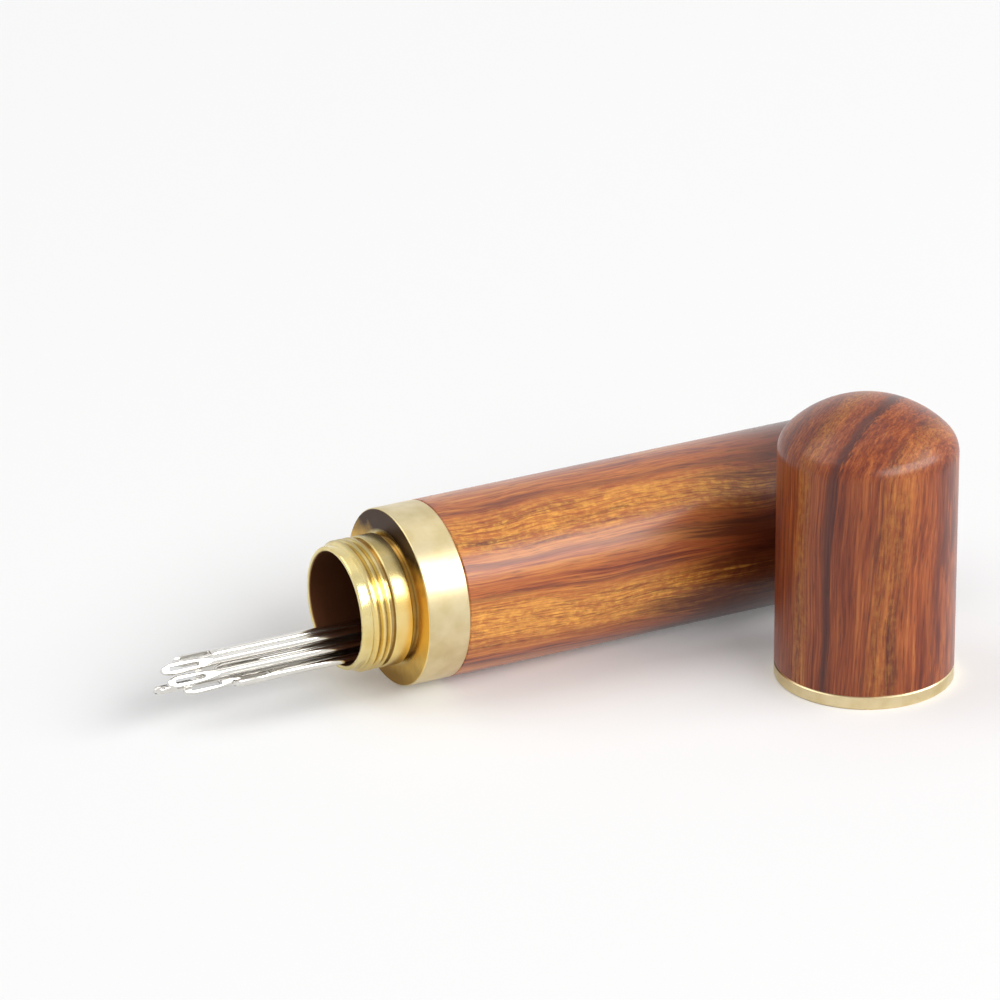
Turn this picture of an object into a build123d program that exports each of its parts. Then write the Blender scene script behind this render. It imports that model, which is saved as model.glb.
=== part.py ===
"""Turned rosewood needle case with brass fittings, open, its cap standing beside it.

Millimetres, +Z up.  The barrel lies along X with its mouth towards -X, and the cap stands
upright on its brass rim on the -Y side.  The origin is the bottom centre of the whole
arrangement, on the surface that both rest on.
"""

import os
from math import asin, cos, radians, sin, tan

from build123d import *

# ---------------------------------------------------------------------------
# Driving dimensions
# ---------------------------------------------------------------------------

# The case as a whole
case_d = 18.0              # outside of wood, ferrule and rim, one turned diameter
bore_d = 11.5              # drilled bore of the barrel, the neck and the cap's cavity
glue_line = 0.05           # film of glue between brass and wood

# Barrel wood
barrel_wood_len = 49.0     # from the ferrule to the flat closed end
barrel_floor = 4.5         # wood left at the closed end
barrel_end_round = 0.8     # rounding of the closed end's edge
seam_chamfer = 0.12        # broken edges where wood meets brass

# Brass neck, turned from one bar: ferrule, threaded neck and tenon
ferrule_len = 4.6
tenon_d = 14.0
tenon_len = 8.0
neck_len = 5.95            # from the shoulder to the lip
undercut_len = 0.55        # groove where the neck meets the shoulder
undercut_depth = 0.45
land_len = 1.85            # smooth collar behind the thread
relief_len = 0.6           # groove between the collar and the thread
thread_len = 1.7
lip_round = 0.22

# Thread shared by the neck and the cap's insert, right-handed
thread_d = 13.3            # over the crests
thread_pitch = 0.75
thread_angle = 60.0        # between the flanks
root_flat_share = 0.125    # flat at the thread's root, as a share of the pitch
depth_share = 0.48         # thread's depth, as a share of the pitch
crest_clearance = 0.09     # radial, crest to root
flank_clearance = 0.05     # along the axis, flank to flank
groove_step = 0.04         # how far plain diameters clear the thread's own

# Cap
rim_len = 1.35             # brass flange that shows below the cap's wood
insert_wall = 0.82         # brass of the insert round the collar's bore
insert_len = 8.0           # sleeve of the insert inside the wood
cap_side_len = 23.7        # wood from the rim to where side and crown would meet
crown_rise = 4.4           # height of the crown above that line
crown_round = 2.6          # rounding between side and crown
cap_bore_depth = 24.0      # cavity, from the rim's face
cap_apart = 20.5           # cap's axis to barrel's axis, across
cap_along = 42.75          # cap's axis behind the shoulder, along the barrel

# Needles
needle_len = 50.0          # the middle one of three lengths
needles_out = 20.0         # mouth to where the pile's eye ends stop
needle_d = 0.9
needle_gap = 0.08          # least gap between neighbours, and to the bore
head_w = 1.2               # width of the flattened head
head_t = 0.72              # thickness of the flattened head
head_len = 6.6             # where the head has thinned into the shank
eye_len = 3.3
eye_w = 0.52
eye_from_tip = 0.8         # metal beyond the eye
gutter_len = 6.0           # groove pressed along the flats, through the eye
gutter_depth = 0.1
point_len = 8.0
point_d = 0.12             # blunt end of the point

# Each needle of the pile: its layer, its place across the layer in pitches, the roll of
# its flat head in degrees, how far its eye end stands out of the mouth as a share of
# needles_out, and its length as a share of needle_len
needle_pile = [
    (0, -1.5, 5.0, 0.61, 1.0),
    (0, -0.5, 50.0, 0.85, 1.0),
    (0, 0.5, -15.0, 0.98, 1.08),
    (0, 1.5, 25.0, 0.73, 0.92),
    (1, -1.0, 60.0, 0.95, 1.08),
    (1, 0.0, 85.0, 0.67, 1.0),
    (1, 1.0, 30.0, 0.54, 0.92),
    (2, -0.5, 55.0, 0.97, 1.0),
    (2, 0.5, 12.0, 0.875, 1.08),
]

# ---------------------------------------------------------------------------
# Sizes and places worked out from them
# ---------------------------------------------------------------------------

case_r = case_d / 2
bore_r = bore_d / 2

# Thread form of the neck
crest_r = thread_d / 2
root_flat = root_flat_share * thread_pitch
flank_slope = tan(radians(thread_angle / 2))
thread_depth = depth_share * thread_pitch
root_r = crest_r - thread_depth
pilot_r = root_r - groove_step
groove_mouth = root_flat + 2 * flank_slope * thread_depth

# The internal thread is the same form, opened by the clearances
inner_crest_r = root_r + crest_clearance
inner_root_r = crest_r + crest_clearance
inner_root_flat = thread_pitch - groove_mouth
inner_root_flat += 2 * flank_clearance - 2 * flank_slope * crest_clearance
collar_bore_r = inner_root_r + groove_step
insert_r = collar_bore_r + insert_wall

# Where the arrangement lies: its bottom centre is the origin
longest_reach = needles_out * max(out for *_, out, _ in needle_pile)
front_of_shoulder = neck_len + longest_reach
back_of_shoulder = ferrule_len + barrel_wood_len
shoulder_x = (front_of_shoulder - back_of_shoulder) / 2
barrel_y = cap_apart / 2
cap_x = shoulder_x + cap_along
cap_y = -cap_apart / 2

# Barrel frame: Z along the barrel from the shoulder to the closed end
barrel = Plane(origin=(shoulder_x, barrel_y, case_r), x_dir=(0, 0, 1), z_dir=(1, 0, 0))
barrel_axis = Axis(barrel.origin, (1, 0, 0))
# Half section of the barrel: X from the shoulder to the closed end, Y is the radius
barrel_section = Plane(origin=barrel.origin, x_dir=(1, 0, 0), z_dir=(0, 0, 1))

# Cap frame: Z up from the face of the rim
cap = Plane(origin=(cap_x, cap_y, 0))
cap_axis = Axis(cap.origin, (0, 0, 1))
# Half section of the cap: X is the radius, Y is up
cap_section = Plane(origin=cap.origin, x_dir=(1, 0, 0), z_dir=(0, -1, 0))


def corner(sketch, x, y):
    """The corner of a half section nearest to a point."""
    return sketch.vertices().sort_by_distance((x, y))[0]


def helical_groove(frame, start, end, narrow_r, narrow_w, wide_r):
    """A groove along a helix about the frame's Z, narrow_w wide at the radius narrow_r."""
    wide_w = narrow_w + 2 * flank_slope * abs(wide_r - narrow_r)
    foot = frame.offset(start)
    with BuildPart() as groove:
        with BuildLine():
            turns = Helix(thread_pitch, end - start, narrow_r, center=foot.origin, direction=foot.z_dir)
        across = Plane(origin=turns @ 0, x_dir=(turns @ 0) - foot.origin, z_dir=turns % 0)
        with BuildSketch(across):
            with BuildLine():
                Polyline(
                    (0, -narrow_w / 2),
                    (wide_r - narrow_r, -wide_w / 2),
                    (wide_r - narrow_r, wide_w / 2),
                    (0, narrow_w / 2),
                    close=True,
                )
            make_face()
        sweep(path=turns, is_frenet=True)
    return groove.part


def save(part, name):
    """Labels a finished piece and writes it."""
    part.label = name
    export_step(part, f"parts/{name}.step")


os.makedirs("parts", exist_ok=True)

# ---------------------------------------------------------------------------
# Barrel wood: one turned length of rosewood, drilled from the mouth and counterbored
# for the tenon
# ---------------------------------------------------------------------------

bore_floor_x = ferrule_len + barrel_wood_len - barrel_floor
tenon_socket_r = tenon_d / 2 + glue_line
tenon_socket_x = ferrule_len + tenon_len + glue_line

with BuildPart() as barrel_wood:
    with BuildSketch(barrel_section) as section:
        with BuildLine():
            Polyline(
                (ferrule_len, tenon_socket_r),
                (ferrule_len, case_r),
                (back_of_shoulder, case_r),
                (back_of_shoulder, 0),
                (bore_floor_x, 0),
                (bore_floor_x, bore_r),
                (tenon_socket_x, bore_r),
                (tenon_socket_x, tenon_socket_r),
                close=True,
            )
        make_face()
        chamfer(corner(section, ferrule_len, case_r), seam_chamfer)
        fillet(corner(section, back_of_shoulder, case_r), barrel_end_round)
    revolve(axis=barrel_axis)

save(barrel_wood.part, "barrel_wood")

# ---------------------------------------------------------------------------
# Threaded neck: ferrule, neck and tenon turned from one brass bar
# ---------------------------------------------------------------------------

undercut_r = crest_r - undercut_depth
land_front_x = -undercut_len - land_len
thread_back_x = land_front_x - relief_len
thread_front_x = thread_back_x - thread_len

with BuildPart() as threaded_neck:
    with BuildSketch(barrel_section) as section:
        with BuildLine():
            Polyline(
                (-neck_len, bore_r),
                (-neck_len, pilot_r),
                (thread_front_x - thread_depth, pilot_r),
                (thread_front_x, crest_r),
                (thread_back_x, crest_r),
                (thread_back_x, pilot_r),
                (land_front_x, pilot_r),
                (land_front_x, crest_r),
                (-undercut_len, crest_r),
                (-undercut_len, undercut_r),
                (0, undercut_r),
                (0, case_r),
                (ferrule_len, case_r),
                (ferrule_len, tenon_d / 2),
                (ferrule_len + tenon_len, tenon_d / 2),
                (ferrule_len + tenon_len, bore_r),
                close=True,
            )
        make_face()
        fillet(corner(section, -neck_len, pilot_r), lip_round)
        fillet(corner(section, -neck_len, bore_r), lip_round)
        chamfer(corner(section, land_front_x, crest_r), seam_chamfer)
        chamfer(corner(section, -undercut_len, crest_r), seam_chamfer)
        chamfer(corner(section, 0, case_r), seam_chamfer)
        chamfer(corner(section, ferrule_len, case_r), seam_chamfer)
    revolve(axis=barrel_axis)
    add(
        helical_groove(
            barrel,
            start=thread_front_x - thread_depth - thread_pitch,
            end=land_front_x - relief_len / 2,
            narrow_r=root_r,
            narrow_w=root_flat,
            wide_r=crest_r + groove_step,
        ),
        mode=Mode.SUBTRACT,
    )

save(threaded_neck.part, "threaded_neck")

# ---------------------------------------------------------------------------
# Cap wood: turned and domed, with a cavity for the needles' ends and a counterbore for
# the insert
# ---------------------------------------------------------------------------

crown_z = rim_len + cap_side_len
apex_z = crown_z + crown_rise
crown_r = (case_r**2 + crown_rise**2) / (2 * crown_rise)
insert_socket_r = insert_r + glue_line
insert_socket_z = rim_len + insert_len + glue_line

with BuildPart() as cap_wood:
    with BuildSketch(cap_section) as section:
        with BuildLine():
            Polyline(
                (0, apex_z),
                (0, cap_bore_depth),
                (bore_r, cap_bore_depth),
                (bore_r, insert_socket_z),
                (insert_socket_r, insert_socket_z),
                (insert_socket_r, rim_len),
                (case_r, rim_len),
                (case_r, crown_z),
            )
            RadiusArc((case_r, crown_z), (0, apex_z), -crown_r)
        make_face()
        chamfer(corner(section, case_r, rim_len), seam_chamfer)
        fillet(corner(section, case_r, crown_z), crown_round)
    revolve(axis=cap_axis)

save(cap_wood.part, "cap_wood")

# ---------------------------------------------------------------------------
# Cap insert: brass sleeve with the internal thread, and the rim that closes on the
# shoulder
# ---------------------------------------------------------------------------

collar_bore_z = undercut_len + land_len + relief_len / 2
insert_top_z = rim_len + insert_len

with BuildPart() as cap_insert:
    with BuildSketch(cap_section) as section:
        with BuildLine():
            Polyline(
                (0, 0),
                (case_r, 0),
                (case_r, rim_len),
                (insert_r, rim_len),
                (insert_r, insert_top_z),
                (0, insert_top_z),
                close=True,
            )
        make_face()
        chamfer(corner(section, case_r, 0), seam_chamfer)
        chamfer(corner(section, case_r, rim_len), seam_chamfer)
    revolve(axis=cap_axis)
    add(
        helical_groove(
            cap,
            start=collar_bore_z - thread_pitch,
            end=insert_top_z + thread_pitch,
            narrow_r=inner_root_r,
            narrow_w=inner_root_flat,
            wide_r=inner_crest_r - groove_step,
        ),
        mode=Mode.SUBTRACT,
    )
    with BuildSketch(cap_section) as section:
        with BuildLine():
            Polyline(
                (0, -thread_pitch),
                (collar_bore_r, -thread_pitch),
                (collar_bore_r, collar_bore_z),
                (inner_crest_r, collar_bore_z),
                (inner_crest_r, insert_top_z + thread_pitch),
                (0, insert_top_z + thread_pitch),
                close=True,
            )
        make_face()
    revolve(axis=cap_axis, mode=Mode.SUBTRACT)

save(cap_insert.part, "cap_insert")

# ---------------------------------------------------------------------------
# Needles: drawn steel with a flattened, long-eyed head, lying in layers in the bottom of
# the bore with their eyes outwards
# ---------------------------------------------------------------------------

needle_r = needle_d / 2
pile_pitch = head_w + needle_gap
lowest_layer_r = bore_r - needle_gap - head_w / 2
lip_x = shoulder_x - neck_len


def needle_frame(layer, place, roll, reach):
    """Frame at the tip of a needle's eye end: X to the point, Z out of the flat head."""
    layer_r = lowest_layer_r - layer * pile_pitch
    angle = place * 2 * asin(pile_pitch / 2 / layer_r)
    lean = radians(roll)
    tip = (lip_x - reach, barrel_y + layer_r * sin(angle), case_r - layer_r * cos(angle))
    return Plane(origin=tip, x_dir=(1, 0, 0), z_dir=(0, -sin(lean), cos(lean)))


def make_needle(flat, length):
    """A needle lying from the frame's origin along its X."""
    edge_on = Plane(origin=flat.origin, x_dir=flat.x_dir, z_dir=-flat.y_dir)
    eye = Plane(
        origin=flat.origin + flat.x_dir * (eye_from_tip + eye_len / 2),
        x_dir=flat.x_dir,
        z_dir=flat.z_dir,
    )
    widest = eye_from_tip + eye_w
    point_r = point_d / 2
    with BuildPart() as needle:
        with BuildSketch(edge_on):
            with BuildLine():
                Line((length, 0), (0, 0))
                EllipticalCenterArc((widest, 0), widest, head_w / 2, start_angle=90, arc_size=90)
                Spline(
                    (widest, head_w / 2),
                    (head_len, needle_r),
                    tangents=((1, 0), (1, 0)),
                )
                Polyline((head_len, needle_r), (length - point_len, needle_r), (length - point_r, point_r))
                Line((length - point_r, point_r), (length, 0))
            make_face()
        revolve(axis=Axis(flat.origin, flat.x_dir))
        with BuildSketch(edge_on):
            with BuildLine():
                Polyline(
                    (-head_t, head_t / 2),
                    (eye_from_tip + eye_len, head_t / 2),
                    (head_len, needle_r + needle_gap),
                    (-head_t, needle_r + needle_gap + head_w),
                    close=True,
                )
            make_face()
            mirror(about=Plane.XZ)
        extrude(amount=head_w, both=True, mode=Mode.SUBTRACT)
        with BuildSketch(eye):
            SlotOverall(eye_len, eye_w)
        extrude(amount=head_w, both=True, mode=Mode.SUBTRACT)
        with BuildSketch(eye.offset(head_t / 2 - gutter_depth), eye.offset(gutter_depth - head_t / 2)):
            SlotOverall(gutter_len, eye_w)
        extrude(amount=gutter_depth, mode=Mode.SUBTRACT)
    return needle.part


for number, (layer, place, roll, out, size) in enumerate(needle_pile, start=1):
    flat_frame = needle_frame(layer, place, roll, out * needles_out)
    save(make_needle(flat_frame, size * needle_len), f"needle_{number}")
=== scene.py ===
"""Looks for a turned rosewood needle case: its woods, brass and steel, a pale studio, the camera.

Everything is in metres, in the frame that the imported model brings. The finishes work in
millimetres, along each piece and out from its axis.
"""

from math import cos, radians, sin

import bpy
from mathutils import Matrix, Vector


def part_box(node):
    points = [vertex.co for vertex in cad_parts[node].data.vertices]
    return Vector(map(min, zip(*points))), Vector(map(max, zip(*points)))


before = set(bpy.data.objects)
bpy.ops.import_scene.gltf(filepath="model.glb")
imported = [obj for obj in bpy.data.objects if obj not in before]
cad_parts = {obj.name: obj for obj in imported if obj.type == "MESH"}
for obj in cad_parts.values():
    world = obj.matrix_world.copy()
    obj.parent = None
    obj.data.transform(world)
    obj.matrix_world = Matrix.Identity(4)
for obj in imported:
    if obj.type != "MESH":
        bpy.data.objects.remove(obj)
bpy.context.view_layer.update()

MM = 0.001
UP = Vector((0, 0, 1))
ALONG = Vector((1, 0, 0))

# ---------------------------------------------------------------------------
# Places on the case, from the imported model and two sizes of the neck
# ---------------------------------------------------------------------------

FERRULE_LEN = 4.6 * MM
NECK_FLOOR_R = 6.2           # mm from the axis to the floor of the neck's deepest groove

wood_low, wood_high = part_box("barrel_wood")
cap_low, cap_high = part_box("cap_wood")

case_r = (wood_high.z - wood_low.z) / 2
shoulder = Vector((wood_low.x - FERRULE_LEN, (wood_low.y + wood_high.y) / 2, case_r))
cap_foot = Vector(((cap_low.x + cap_high.x) / 2, (cap_low.y + cap_high.y) / 2, 0))


# ---------------------------------------------------------------------------
# Helpers for the finishes
# ---------------------------------------------------------------------------


def srgb(code):
    """A hex colour as the linear values that a shader takes."""
    channels = [int(code[i:i + 2], 16) / 255 for i in (1, 3, 5)]
    linear = [c / 12.92 if c <= 0.04045 else ((c + 0.055) / 1.055) ** 2.4 for c in channels]
    return (*linear, 1.0)


def add_node(tree, kind, inputs=None, stops=(), **settings):
    """Adds a node with its settings. An input takes a value, a socket, or a node's main output."""
    node = tree.nodes.new(kind)
    for name, value in settings.items():
        setattr(node, name, value)
    for number, (position, code) in enumerate(stops):
        elements = node.color_ramp.elements
        element = elements[number] if number < len(elements) else elements.new(position)
        element.position = position
        element.color = srgb(code)
    for key, value in (inputs or {}).items():
        by_name = (s for s in node.inputs if s.enabled and s.name == key)
        socket = node.inputs[key] if isinstance(key, int) else next(by_name)
        if isinstance(value, bpy.types.Node):
            value = next(s for s in value.outputs if s.enabled)
        if isinstance(value, bpy.types.NodeSocket):
            tree.links.new(value, socket)
        else:
            socket.default_value = value
    return node


def start_finish(name):
    """An empty material with its tree."""
    material = bpy.data.materials.new(name)
    material.use_nodes = True
    material.node_tree.nodes.clear()
    return material, material.node_tree


def lay_millimetres(tree, origin, along, across):
    """A point of the piece in millimetres from origin, with X along the piece and Y across it."""
    turn = Matrix((along, across, along.cross(across))).transposed().to_euler()
    place = add_node(tree, "ShaderNodeTexCoord").outputs["Object"]
    inputs = {"Vector": place, "Location": origin, "Rotation": turn, "Scale": (MM, MM, MM)}
    return add_node(tree, "ShaderNodeMapping", inputs, vector_type="TEXTURE")


def away_from(tree, value, middle):
    """How far a value lies from a middle, on either side."""
    offset = add_node(tree, "ShaderNodeMath", {0: value, 1: middle}, operation="SUBTRACT")
    return add_node(tree, "ShaderNodeMath", {0: offset}, operation="ABSOLUTE")


def soft_band(tree, value, middle, half_width, edge, strength):
    """A band about a middle, that fades from one share of its half width to the other in edge."""
    full, none = edge
    return add_node(tree, "ShaderNodeMapRange", {
        "Value": away_from(tree, value, middle),
        "From Min": full * half_width, "From Max": none * half_width,
        "To Min": strength, "To Max": 0.0}, interpolation_type="SMOOTHSTEP")


# ---------------------------------------------------------------------------
# Rosewood
# ---------------------------------------------------------------------------

# Features per millimetre along the fibres, across the layers and within a layer, then the
# noise's detail and the roughness of that detail
WOOD_PATTERNS = {
    "bands": ((0.010, 0.42, 0.03), 3.0, 0.60),
    "streaks": ((0.060, 1.50, 0.40), 4.0, 0.66),
    "lines": ((0.100, 4.60, 1.60), 3.0, 0.62),
    "fibres": ((0.300, 9.00, 6.00), 2.0, 0.60),
    "pores": ((0.450, 6.50, 4.00), 1.0, 0.40),
    "flecks": ((0.420, 4.60, 3.00), 3.0, 0.65),
    "ripples": ((1.300, 1.60, 1.20), 3.0, 0.60),
}
FIGURE_SHARES = {"bands": 0.28, "streaks": 0.38, "lines": 0.34}
SWAY_PER_MM = (0.045, 0.10, 0.10)
SHIMMER_RIBBON_EDGE = (0.3, 1.2)     # shares of the half width where a ribbon is full and where it ends
VEIN_EDGE = (0.4, 1.15)      # the same for a vein
VEIN_FRAY = 1.6              # mm, how far the lines move a vein's edge
HEART_AND_PAINTED_SHADE_FRAY = 60.0            # mm, how far the figure moves the edge of the heartwood and painted shade
HEART_AND_PAINTED_SHADE_TAPER = 0.75           # mm later along the piece, for each mm from the middle layer, as the painted shadow's edge slants
PORE_DARKNESS = 0.45
PORE_DEPTH = 0.02 * MM
FIBRE_RELIEF = 0.4           # height of the fibres, as a share of the pores' depth

# Gold laid in ribbons: the wood's own golden fibres, and a painted shimmer where light catches them
GOLD_AND_PAINTED_SHIMMER = "#f0ae47"
RESIN = "#3c1a1c"
# Darker tone of the heartwood, which also paints the cap's shadow on the barrel's closed end
HEART_AND_PAINTED_SHADE_TINT = "#6b3d33"
PORE = "#33140d"


def turned_rosewood(name, origin, along, across, ring_r, lean, sway, tones, shimmer_ribbons, veins, oil,
                    heart_and_painted_shade=None):
    """Rosewood, turned, sanded fine and oiled to a satin polish.

    It gives the eye growth layers in honey and red brown, narrow purple-brown streaks, a
    golden shimmer in ribbons, partly the wood's own gold and partly a painted highlight
    where light catches the fibres, and short open pores. The layers are rings of ring_r
    about a far pith. lean is how fast they drift along the piece, and sway how far they
    wander, in millimetres. The ribbons of painted shimmer and the veins are (layer, half
    width, strength) in millimetres across the layers. oil is how much of the surface the
    polished oil covers. The last argument is (layer, start, end, strength): darker wood that
    begins at start and is full at end, in millimetres along the piece, partly dark heartwood
    and partly painted shade.
    """
    material, tree = start_finish(name)
    grain = lay_millimetres(tree, origin, along, across)
    parts = add_node(tree, "ShaderNodeSeparateXYZ", {"Vector": grain})

    # The layer that a point lies in, as millimetres from the one through the piece's axis
    upright = add_node(tree, "ShaderNodeVectorMath", {0: grain, 1: (0, 1, 1)}, operation="MULTIPLY")
    ring = add_node(tree, "ShaderNodeVectorMath", {0: upright, 1: (0, -ring_r, 0)},
                    operation="DISTANCE")
    leaned = add_node(tree, "ShaderNodeMath", {0: parts.outputs["X"], 1: lean, 2: ring},
                      operation="MULTIPLY_ADD")
    slow = add_node(tree, "ShaderNodeVectorMath", {0: grain, 1: SWAY_PER_MM}, operation="MULTIPLY")
    wander = add_node(tree, "ShaderNodeTexNoise", {"Vector": slow, "Scale": 1.0, "Detail": 2.0})
    swayed = add_node(tree, "ShaderNodeMath", {0: wander, 1: sway, 2: leaned},
                      operation="MULTIPLY_ADD")
    layer = add_node(tree, "ShaderNodeMath", {0: swayed, 1: ring_r + sway / 2},
                     operation="SUBTRACT")

    fibre_place = add_node(tree, "ShaderNodeCombineXYZ",
                           {"X": parts.outputs["X"], "Y": layer, "Z": parts.outputs["Z"]})
    patterns = {}
    for label, (per_mm, detail, rough) in WOOD_PATTERNS.items():
        scaled = add_node(tree, "ShaderNodeVectorMath", {0: fibre_place, 1: per_mm},
                          operation="MULTIPLY")
        patterns[label] = add_node(tree, "ShaderNodeTexNoise", {
            "Vector": scaled, "Scale": 1.0, "Detail": detail, "Roughness": rough})

    # The figure, a half on average, picks the tone
    figure = 0.0
    for label, share in FIGURE_SHARES.items():
        figure = add_node(tree, "ShaderNodeMath", {0: patterns[label], 1: share, 2: figure},
                          operation="MULTIPLY_ADD")
    colour = add_node(tree, "ShaderNodeValToRGB", {"Fac": figure}, stops=tones)

    # Golden shimmer, partly a painted highlight of light catching the fibres: dashes of light
    # fibres, rippled across the grain and crowded in the ribbons
    dash = add_node(tree, "ShaderNodeMapRange", {
        "Value": patterns["flecks"], "From Min": 0.40, "From Max": 0.58,
        "To Min": 0.15, "To Max": 1.0})
    rippled = add_node(tree, "ShaderNodeMapRange", {
        "Value": patterns["ripples"], "From Min": 0.36, "From Max": 0.60,
        "To Min": 0.30, "To Max": 1.0})
    shimmer_fleck = add_node(tree, "ShaderNodeMath", {0: dash, 1: rippled}, operation="MULTIPLY")
    for middle, half_width, strength in shimmer_ribbons:
        shimmer_band = soft_band(tree, layer, middle, half_width, SHIMMER_RIBBON_EDGE, strength)
        amount = add_node(tree, "ShaderNodeMath", {0: shimmer_band, 1: shimmer_fleck}, operation="MULTIPLY")
        colour = add_node(tree, "ShaderNodeMix", {
            "Factor": amount, "A": colour, "B": srgb(GOLD_AND_PAINTED_SHIMMER)}, data_type="RGBA")

    # Dark resin veins along some layers, frayed by the fine lines
    frayed = add_node(tree, "ShaderNodeMath", {0: patterns["lines"], 1: VEIN_FRAY, 2: layer},
                      operation="MULTIPLY_ADD")
    for middle, half_width, strength in veins:
        vein = soft_band(tree, frayed, middle + VEIN_FRAY / 2, half_width, VEIN_EDGE, strength)
        colour = add_node(tree, "ShaderNodeMix", {
            "Factor": vein, "A": colour, "B": srgb(RESIN)}, data_type="RGBA")

    # Heartwood and painted shade: darker layers that widen towards one end, with a streaky edge;
    # partly dark heartwood, partly a painted shadow of the cap on the barrel
    if heart_and_painted_shade:
        middle, start, end, strength = heart_and_painted_shade
        tapered = add_node(tree, "ShaderNodeMath", {
            0: away_from(tree, layer, middle), 1: -HEART_AND_PAINTED_SHADE_TAPER, 2: parts.outputs["X"]},
            operation="MULTIPLY_ADD")
        reach = add_node(tree, "ShaderNodeMath", {0: figure, 1: HEART_AND_PAINTED_SHADE_FRAY, 2: tapered},
                         operation="MULTIPLY_ADD")
        heart_and_shade_amount = add_node(tree, "ShaderNodeMapRange", {
            "Value": reach, "From Min": start + HEART_AND_PAINTED_SHADE_FRAY / 2, "From Max": end + HEART_AND_PAINTED_SHADE_FRAY / 2,
            "To Min": 0.0, "To Max": strength}, interpolation_type="SMOOTHSTEP")
        colour = add_node(tree, "ShaderNodeMix", {
            "Factor": heart_and_shade_amount, "A": colour, "B": srgb(HEART_AND_PAINTED_SHADE_TINT)},
            data_type="RGBA", blend_type="MULTIPLY")

    # Fibres a ninth of a millimetre wide make every tone a little lighter and darker
    light = add_node(tree, "ShaderNodeMapRange", {
        "Value": patterns["fibres"], "From Min": 0.30, "From Max": 0.70,
        "To Min": 0.84, "To Max": 1.14})
    light = add_node(tree, "ShaderNodeCombineColor", {"Red": light, "Green": light, "Blue": light})
    colour = add_node(tree, "ShaderNodeMix", {"Factor": 1.0, "A": colour, "B": light},
                      data_type="RGBA", blend_type="MULTIPLY")

    # Open pores, dashes a sixth of a millimetre wide: large for this wood, so that they show
    pore = add_node(tree, "ShaderNodeMapRange", {
        "Value": patterns["pores"], "From Min": 0.60, "From Max": 0.74})
    amount = add_node(tree, "ShaderNodeMath", {0: pore, 1: PORE_DARKNESS}, operation="MULTIPLY")
    colour = add_node(tree, "ShaderNodeMix", {"Factor": amount, "A": colour, "B": srgb(PORE)},
                      data_type="RGBA")
    relief = add_node(tree, "ShaderNodeMath", {0: patterns["fibres"], 1: FIBRE_RELIEF},
                      operation="MULTIPLY")
    relief = add_node(tree, "ShaderNodeMath", {0: relief, 1: pore}, operation="SUBTRACT")
    bump = add_node(tree, "ShaderNodeBump", {
        "Height": relief, "Strength": 0.3, "Distance": PORE_DEPTH})

    sheen = add_node(tree, "ShaderNodeMapRange", {
        "Value": patterns["streaks"], "From Min": 0.3, "From Max": 0.7,
        "To Min": 0.40, "To Max": 0.50})
    wood = add_node(tree, "ShaderNodeBsdfPrincipled", {
        "Base Color": colour, "Roughness": sheen, "IOR": 1.5, "Specular IOR Level": 0.2,
        "Normal": bump, "Coat Weight": oil, "Coat Roughness": 0.25, "Coat IOR": 1.5})
    add_node(tree, "ShaderNodeOutputMaterial", {"Surface": wood})
    return material


# ---------------------------------------------------------------------------
# Brass and steel
# ---------------------------------------------------------------------------

# Clean and hazy
POLISHED_BRASS = ("#ebdca4", "#dec884")
SATIN_BRASS = ("#e3d3aa", "#d3c192")
HAZE_PER_MM = 0.4

# Rings from the lathe and the polishing cloth: coarser than real, so that they show
RINGS_PER_MM = (6.0, 0.05, 0.05)
RING_DEPTH = 0.01 * MM
POLISHED_RINGS = 0.05
SATIN_RINGS = 0.12

POLISHED_ROUGHNESS = 0.15
SATIN_ROUGHNESS = 0.29
SHOULDER_FACE_ROUGHNESS = 0.34
BORE_ROUGHNESS = 0.55
HAZE_ROUGHNESS = 0.05        # added where the brass is hazy

TARNISH = "#85571d"
TARNISH_STRENGTH = 0.70
DULL_BORE = "#86563a"

# Painted reflection on a flat face, bright gold low down and dark brown at the top, from its foot
# to its top
SHOULDER_PAINTED_REFLECTION = [(0.0, "#ac863f"), (0.30, "#ffd873"), (0.72, "#f2c25c"), (0.95, "#3c230f")]
PAINTED_REFLECTION_FOOT = -6.0            # mm above the axis, where the first of them lies
PAINTED_REFLECTION_TOP = 9.0              # mm above the axis, where the last of them lies
PAINTED_REFLECTION_SPREAD = 4.0           # mm, how far the clouds move them
PAINTED_REFLECTION_CLOUDS_PER_MM = 0.55

# Lines from drawing the wire: coarser than real, so that they show
DRAWN_PER_MM = (0.3, 14.0, 14.0)
DRAWN_DEPTH = 0.004 * MM
NICKEL = [(0.3, "#cfcbc4"), (0.7, "#ebe9e5")]


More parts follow.
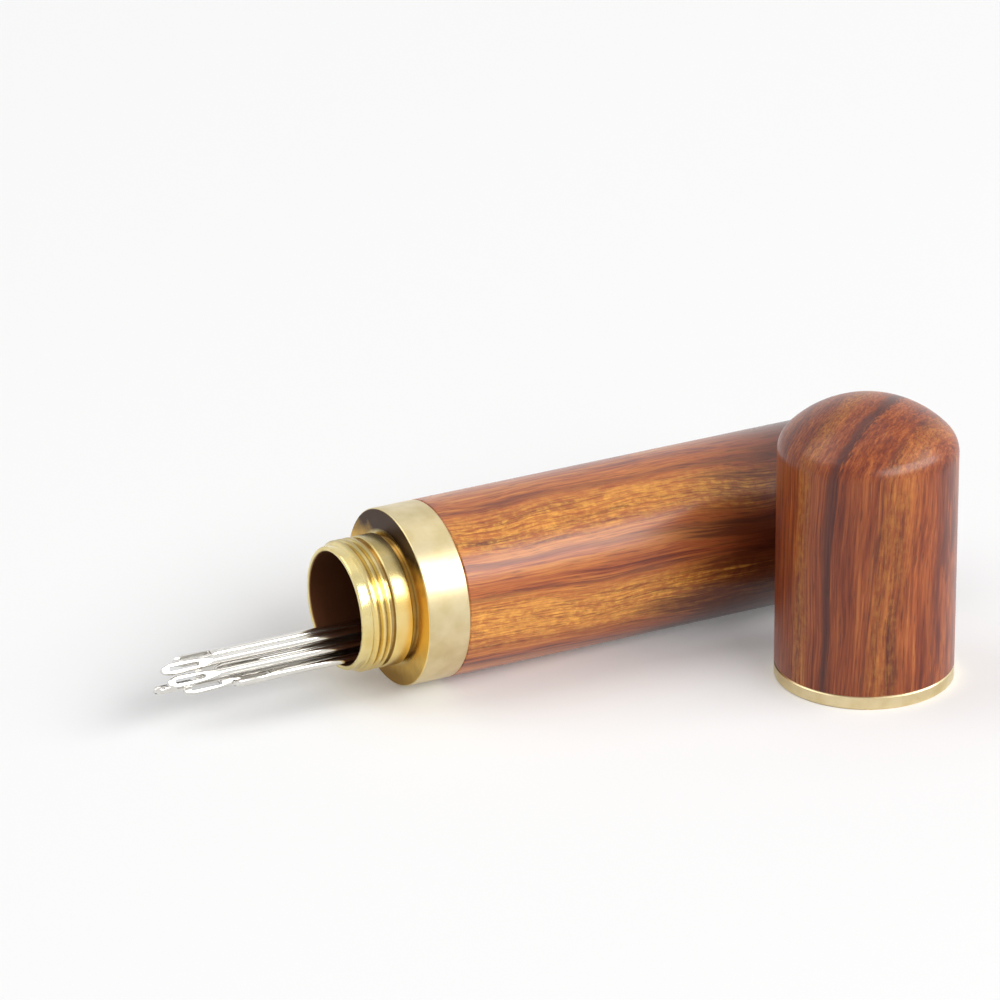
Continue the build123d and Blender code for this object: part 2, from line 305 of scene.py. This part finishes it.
def turned_brass(name, origin, along, across, satin_start, grooves=None):
    """Brass, turned on a lathe: the neck is polished, the outside band is brushed satin.

    It gives the eye a yellow mirror on the neck, a paler band whose highlight is smeared by
    fine rings, and brown tarnish where polish doesn't reach: bore, thread and inner corner.
    satin_start and grooves, (first, last), are places along the piece in millimetres.
    """
    material, tree = start_finish(name)
    place = lay_millimetres(tree, origin, along, across)
    parts = add_node(tree, "ShaderNodeSeparateXYZ", {"Vector": place})
    upright = add_node(tree, "ShaderNodeVectorMath", {0: place, 1: (0, 1, 1)}, operation="MULTIPLY")
    radius = add_node(tree, "ShaderNodeVectorMath", {0: upright}, operation="LENGTH")
    outer_r = case_r / MM

    # Satin on the full diameter behind satin_start, and polished elsewhere
    outside = add_node(tree, "ShaderNodeMapRange", {
        "Value": radius, "From Min": outer_r - 0.25, "From Max": outer_r - 0.12})
    behind = add_node(tree, "ShaderNodeMapRange", {
        "Value": parts.outputs["X"], "From Min": satin_start, "From Max": satin_start + 0.1})
    satin = add_node(tree, "ShaderNodeMath", {0: outside, 1: behind}, operation="MULTIPLY")

    rings_place = add_node(tree, "ShaderNodeVectorMath", {0: place, 1: RINGS_PER_MM},
                           operation="MULTIPLY")
    rings = add_node(tree, "ShaderNodeTexNoise", {
        "Vector": rings_place, "Scale": 1.0, "Detail": 2.0, "Roughness": 0.6})
    haze = add_node(tree, "ShaderNodeTexNoise", {
        "Vector": place, "Scale": HAZE_PER_MM, "Detail": 4.0})
    hazy = add_node(tree, "ShaderNodeMapRange", {
        "Value": haze, "From Min": 0.35, "From Max": 0.65})
    polished, brushed = (
        add_node(tree, "ShaderNodeMix", {"Factor": hazy, "A": srgb(clean), "B": srgb(dulled)},
                 data_type="RGBA")
        for clean, dulled in (POLISHED_BRASS, SATIN_BRASS))
    colour = add_node(tree, "ShaderNodeMix", {"Factor": satin, "A": polished, "B": brushed},
                      data_type="RGBA")

    # Tarnish in the grooves of the thread and in the corner before the shoulder
    if grooves:
        first, last = grooves
        past_first = add_node(tree, "ShaderNodeMapRange", {
            "Value": parts.outputs["X"], "From Min": first, "From Max": first + 0.15})
        before_last = add_node(tree, "ShaderNodeMapRange", {
            "Value": parts.outputs["X"], "From Min": last, "From Max": last + 0.12,
            "To Min": 1.0, "To Max": 0.0})
        deep = add_node(tree, "ShaderNodeMapRange", {
            "Value": radius, "From Min": NECK_FLOOR_R + 0.04, "From Max": NECK_FLOOR_R + 0.28,
            "To Min": 1.0, "To Max": 0.0})
        amount = TARNISH_STRENGTH
        for limit in (past_first, before_last, deep):
            amount = add_node(tree, "ShaderNodeMath", {0: amount, 1: limit}, operation="MULTIPLY")
        colour = add_node(tree, "ShaderNodeMix", {
            "Factor": amount, "A": colour, "B": srgb(TARNISH)}, data_type="RGBA")

    # Painted reflection on the flat face at the origin, in soft clouds: bright gold lower down,
    # browner towards the top
    face = add_node(tree, "ShaderNodeMapRange", {
        "Value": parts.outputs["X"], "From Min": 0.01, "From Max": 0.06,
        "To Min": 1.0, "To Max": 0.0})
    beyond = add_node(tree, "ShaderNodeMapRange", {
        "Value": radius, "From Min": NECK_FLOOR_R + 0.2, "From Max": NECK_FLOOR_R + 0.8})
    painted_reflection_face = add_node(tree, "ShaderNodeMath", {0: face, 1: beyond}, operation="MULTIPLY")
    clouds = add_node(tree, "ShaderNodeTexNoise", {
        "Vector": place, "Scale": PAINTED_REFLECTION_CLOUDS_PER_MM, "Detail": 3.0})
    higher = add_node(tree, "ShaderNodeMath", {0: clouds, 1: PAINTED_REFLECTION_SPREAD, 2: parts.outputs["Y"]},
                      operation="MULTIPLY_ADD")
    height = add_node(tree, "ShaderNodeMapRange", {
        "Value": higher, "From Min": PAINTED_REFLECTION_FOOT, "From Max": PAINTED_REFLECTION_TOP})
    painted_reflection_colour = add_node(tree, "ShaderNodeValToRGB", {"Fac": height}, stops=SHOULDER_PAINTED_REFLECTION)
    colour = add_node(tree, "ShaderNodeMix", {"Factor": painted_reflection_face, "A": colour, "B": painted_reflection_colour},
                      data_type="RGBA")

    # The bore is dull and brown
    dull = add_node(tree, "ShaderNodeMapRange", {
        "Value": radius, "From Min": NECK_FLOOR_R - 0.45, "From Max": NECK_FLOOR_R - 0.35,
        "To Min": 1.0, "To Max": 0.0})
    colour = add_node(tree, "ShaderNodeMix", {"Factor": dull, "A": colour, "B": srgb(DULL_BORE)},
                      data_type="RGBA")

    rough = add_node(tree, "ShaderNodeMix", {
        "Factor": satin, "A": POLISHED_ROUGHNESS, "B": SATIN_ROUGHNESS})
    # Rougher on the face under the painted reflection
    rough = add_node(tree, "ShaderNodeMix", {
        "Factor": painted_reflection_face, "A": rough, "B": SHOULDER_FACE_ROUGHNESS})
    rough = add_node(tree, "ShaderNodeMath", {0: hazy, 1: HAZE_ROUGHNESS, 2: rough},
                     operation="MULTIPLY_ADD")
    rough = add_node(tree, "ShaderNodeMix", {"Factor": dull, "A": rough, "B": BORE_ROUGHNESS})
    strength = add_node(tree, "ShaderNodeMix", {
        "Factor": satin, "A": POLISHED_RINGS, "B": SATIN_RINGS})
    bump = add_node(tree, "ShaderNodeBump", {
        "Height": rings, "Strength": strength, "Distance": RING_DEPTH})
    metal = add_node(tree, "ShaderNodeBsdfPrincipled", {
        "Base Color": colour, "Metallic": 1.0, "Roughness": rough, "Normal": bump})
    add_node(tree, "ShaderNodeOutputMaterial", {"Surface": metal})
    return material


def plated_needle_steel(name):
    """Steel wire, drawn, stamped and nickel plated: bright, with faint lines along the needle."""
    material, tree = start_finish(name)
    place = lay_millimetres(tree, Vector((0, 0, 0)), ALONG, UP)
    drawn = add_node(tree, "ShaderNodeVectorMath", {0: place, 1: DRAWN_PER_MM},
                     operation="MULTIPLY")
    lines = add_node(tree, "ShaderNodeTexNoise", {"Vector": drawn, "Scale": 1.0, "Detail": 2.0})
    bump = add_node(tree, "ShaderNodeBump", {
        "Height": lines, "Strength": 0.12, "Distance": DRAWN_DEPTH})
    rough = add_node(tree, "ShaderNodeMapRange", {
        "Value": lines, "From Min": 0.3, "From Max": 0.7, "To Min": 0.12, "To Max": 0.20})
    tint = add_node(tree, "ShaderNodeValToRGB", {"Fac": lines}, stops=NICKEL)
    metal = add_node(tree, "ShaderNodeBsdfPrincipled", {
        "Base Color": tint, "Metallic": 1.0, "Roughness": rough, "Normal": bump})
    add_node(tree, "ShaderNodeOutputMaterial", {"Surface": metal})
    return material


# ---------------------------------------------------------------------------
# Each piece gets its finish
# ---------------------------------------------------------------------------

BARREL_TONES = [
    (0.36, "#501d11"), (0.43, "#853b1a"), (0.50, "#ac5a28"), (0.56, "#c17332"), (0.64, "#d28c42")]
CAP_TONES = [
    (0.36, "#45180d"), (0.43, "#6e2a12"), (0.50, "#893f1b"), (0.56, "#a15326"), (0.64, "#ba7038")]

# The way out of the tree, across each piece: it leans back from upright on the barrel, and
# points to the front right on the cap
BARREL_LEAN = radians(24)
CAP_TURN = radians(-55)
barrel_across = Vector((0, sin(BARREL_LEAN), cos(BARREL_LEAN)))
cap_across = Vector((cos(CAP_TURN), sin(CAP_TURN), 0))


def dress(node, material):
    """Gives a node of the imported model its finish."""
    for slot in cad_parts[node].material_slots:
        slot.material = material


# Two golden ribbons of painted shimmer with a plainer stretch between them, and a dark closed end
# that is partly heartwood and partly painted shadow of the cap
dress("barrel_wood", turned_rosewood(
    "oiled_rosewood_barrel", shoulder, ALONG, barrel_across, ring_r=40.0, lean=0.03, sway=2.6,
    tones=BARREL_TONES, shimmer_ribbons=[(-3.4, 2.8, 0.85), (5.6, 2.2, 0.7)],
    veins=[(-0.4, 0.3, 0.4), (2.7, 0.3, 0.35), (8.0, 0.35, 0.35), (-7.4, 0.4, 0.35)],
    oil=0.8, heart_and_painted_shade=(-7.5, 21.5, 33.0, 0.93)))
# Browner wood, with one strong vein up the side and over the crown
dress("cap_wood", turned_rosewood(
    "oiled_rosewood_cap", cap_foot, UP, cap_across, ring_r=26.0, lean=-0.03, sway=1.8,
    tones=CAP_TONES, shimmer_ribbons=[(-2.2, 1.2, 0.25), (6.0, 1.2, 0.2)],
    veins=[(1.1, 0.6, 0.72), (4.9, 0.2, 0.3), (8.4, 0.15, 0.3)], oil=0.55))
dress("threaded_neck", turned_brass(
    "turned_brass_neck", shoulder, ALONG, UP, satin_start=0.0, grooves=(-4.75, 0.05)))
dress("cap_insert", turned_brass(
    "turned_brass_rim", cap_foot, UP, ALONG, satin_start=-1.0))

needle_finish = plated_needle_steel("nickel_plated_steel")
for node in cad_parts:
    if node.startswith("needle_"):
        dress(node, needle_finish)

# ---------------------------------------------------------------------------
# Studio: a white card to stand on, white walls, a wide softbox on the right and two small
# ones behind and above
# ---------------------------------------------------------------------------

CARD_SIZE = 6.0
CARD_LIFT = 0.15             # share of the card's white that shade doesn't take away
WALL_LIGHT = 0.28            # how strongly the walls light the case
WALL_WHITE = 0.97            # how bright they look, in view and in the brass
CEILING_WHITE = 0.86         # the same overhead
CEILING_START = 0.25         # sine of the height where the wall starts to turn to ceiling
CEILING_FULL = 0.80          # sine of the height where it is all ceiling
SOFTBOX_DISTANCE = 3.0


def shown_or_mirrored(tree):
    """One where a thing is seen, directly or in a reflection, and nought where it only lights."""
    rays = add_node(tree, "ShaderNodeLightPath")
    mirrored = add_node(tree, "ShaderNodeMath", {
        0: rays.outputs["Is Glossy Ray"], 1: rays.outputs["Is Transmission Ray"]},
        operation="MAXIMUM")
    return add_node(tree, "ShaderNodeMath", {0: rays.outputs["Is Camera Ray"], 1: mirrored},
                    operation="MAXIMUM")


def softbox(name, azimuth, elevation, width, height, watts):
    """A rectangular lamp, in metres, that faces the case from a direction, in degrees."""
    lamp = bpy.data.lights.new(name, "AREA")
    lamp.shape = "RECTANGLE"
    lamp.size = width
    lamp.size_y = height
    lamp.energy = watts
    stand = bpy.data.objects.new(name, lamp)
    bpy.context.scene.collection.objects.link(stand)
    turn = radians(azimuth)
    rise = radians(elevation)
    towards = Vector((cos(turn) * cos(rise), sin(turn) * cos(rise), sin(rise)))
    stand.location = towards * SOFTBOX_DISTANCE + UP * case_r
    stand.rotation_euler = (-towards).to_track_quat("-Z", "Y").to_euler()


# White card, matt: it takes soft shade and mirrors nothing
card, card_tree = start_finish("white_card")
paper = add_node(card_tree, "ShaderNodeBsdfDiffuse", {"Color": srgb("#fafafa")})
lifted = add_node(card_tree, "ShaderNodeEmission", {"Color": srgb("#fdfdfd"), "Strength": 1.0})
lifted_share = add_node(card_tree, "ShaderNodeMath", {
    0: shown_or_mirrored(card_tree), 1: CARD_LIFT}, operation="MULTIPLY")
lifted_paper = add_node(card_tree, "ShaderNodeMixShader", {0: lifted_share, 1: paper, 2: lifted})
add_node(card_tree, "ShaderNodeOutputMaterial", {"Surface": lifted_paper})

bpy.ops.object.select_all(action="DESELECT")
bpy.ops.mesh.primitive_plane_add(size=CARD_SIZE, location=(0, 0, 0))
floor = bpy.context.object
floor.name = "floor"
floor.data.materials.append(card)

room = bpy.data.worlds.new("white_room")
bpy.context.scene.world = room
room.use_nodes = True
room_tree = room.node_tree
room_tree.nodes.clear()
direction = add_node(room_tree, "ShaderNodeTexCoord").outputs["Generated"]
height = add_node(room_tree, "ShaderNodeSeparateXYZ", {"Vector": direction}).outputs["Z"]
white = add_node(room_tree, "ShaderNodeMapRange", {
    "Value": height, "From Min": CEILING_START, "From Max": CEILING_FULL,
    "To Min": WALL_WHITE, "To Max": CEILING_WHITE})
level = add_node(room_tree, "ShaderNodeMix", {
    "Factor": shown_or_mirrored(room_tree), "A": WALL_LIGHT, "B": white})
walls = add_node(room_tree, "ShaderNodeBackground", {"Color": (1, 1, 1, 1), "Strength": level})
add_node(room_tree, "ShaderNodeOutputWorld", {"Surface": walls})

softbox("softbox_right", azimuth=-56, elevation=36, width=4.6, height=1.4, watts=108.0)
softbox("softbox_back", azimuth=150, elevation=50, width=1.9, height=1.5, watts=15.0)
softbox("softbox_top", azimuth=90, elevation=76, width=2.6, height=2.2, watts=12.0)

# ---------------------------------------------------------------------------
# Camera, where the photograph was taken from
# ---------------------------------------------------------------------------

CAMERA_PLACE = Vector((-342.86, -636.94, 336.93)) * MM
LOOKS_DOWN = 23.62           # degrees below the horizon
LOOKS_RIGHT = 27.81          # degrees round from +Y towards +X
SENSOR_WIDTH = 36.0          # mm
FOCAL_LENGTH = 289.3         # mm

camera_data = bpy.data.cameras.new("camera")
camera_data.sensor_width = SENSOR_WIDTH
camera_data.lens = FOCAL_LENGTH
camera_data.clip_start = 0.01
camera = bpy.data.objects.new("camera", camera_data)
bpy.context.scene.collection.objects.link(camera)
camera.location = CAMERA_PLACE
camera.rotation_euler = (radians(90 - LOOKS_DOWN), 0, radians(-LOOKS_RIGHT))
bpy.context.scene.camera = camera
bpy.context.scene.view_settings.view_transform = "Standard"
